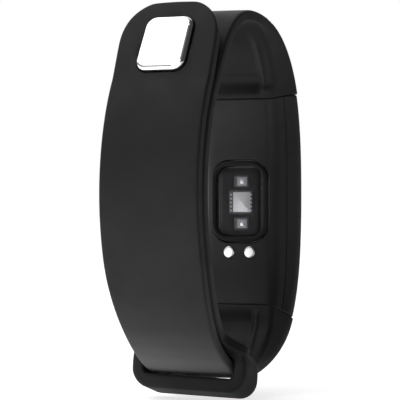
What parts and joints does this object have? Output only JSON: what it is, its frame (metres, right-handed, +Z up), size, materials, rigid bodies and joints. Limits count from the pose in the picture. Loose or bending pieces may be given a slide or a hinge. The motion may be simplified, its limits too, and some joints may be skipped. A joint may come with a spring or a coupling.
{
  "type": "fitness tracker band",
  "caption": "Curved wrist tracker with a rubber strap closed into an oval, a metal peg clasp, a keeper loop and a skin-side pulse sensor with charging pads.",
  "frame": {"origin": "centre of the wrist opening, at the middle of the band's width", "axes": "+Z up along the oval's long axis, +X along the wrist, +Y from the clasp side towards the display"},
  "size_m": [0.0214, 0.0482, 0.0686],
  "materials": {
    "strap_rubber": "matte moulded silicone rubber with a fine satin skin",
    "housing_plastic": "soft-touch black moulded plastic",
    "lens_glass": "polished black touch lens",
    "sensor_glass": "dark tinted clear window",
    "clasp_metal": "mirror-polished stainless steel",
    "contact_metal": "plated bright metal",
    "display_glass": "dark display glass",
    "flex_film": "amber polyimide film",
    "board_green": "green solder mask",
    "board_black": "black solder mask",
    "can_metal": "thin pressed tin-plate",
    "battery_foil": "laminated foil pouch",
    "baffle_plastic": "black foam and plastic light barrier",
    "photodiode_die": "grey silicon die in a clear package",
    "led_package": "white ceramic package with a small bright die",
    "gasket_rubber": "soft black seal",
    "motor_steel": "plain pressed steel",
    "rotor_metal": "dense sintered weight",
    "anchor_plastic": "glass-filled nylon insert",
    "pin_steel": "ground steel pin"
  },
  "bodies": {
    "root": {"front_lens": "lens_glass", "front_housing": "housing_plastic", "back_cover": "housing_plastic", "case_gasket": "gasket_rubber", "display_panel": "display_glass", "display_flex": "flex_film", "main_board": "board_green", "shield_can": "can_metal", "battery": "battery_foil", "sensor_window": "sensor_glass", "sensor_board": "board_black", "light_baffle": "baffle_plastic", "photodiode": "photodiode_die", "led_upper": "led_package", "led_lower": "led_package", "charge_contact_left": "contact_metal", "charge_contact_right": "contact_metal", "vibration_motor_case": "motor_steel", "vibration_motor_shaft": "motor_steel", "upper_strap": "strap_rubber", "keeper_loop": "strap_rubber", "lower_strap": "strap_rubber", "upper_anchor_plate": "anchor_plastic", "upper_anchor_pin_left": "pin_steel", "upper_anchor_pin_right": "pin_steel", "lower_anchor_plate": "anchor_plastic", "lower_anchor_pin_left": "pin_steel", "lower_anchor_pin_right": "pin_steel"},
    "clasp_tail": {"clasp_strap": "strap_rubber", "clasp_plate": "clasp_metal", "clasp_stud": "clasp_metal", "clasp_washer": "clasp_metal"},
    "motor_weight": {"vibration_motor_rotor": "rotor_metal"}
  },
  "joints": [
    {"name": "tail_flex", "type": "hinge", "parent": "root", "child": "clasp_tail", "pos_m": [0, -0.00598, -0.028], "axis": [1, 0, 0], "range_deg": [0, 70], "stiffness_Nm_per_rad": 0.0044, "springref_deg": -8.59},
    {"name": "motor_spin", "type": "hinge", "parent": "root", "child": "motor_weight", "pos_m": [0, 0.0213, -0.0142], "axis": [0, 1, 0], "continuous": true}
  ]
}
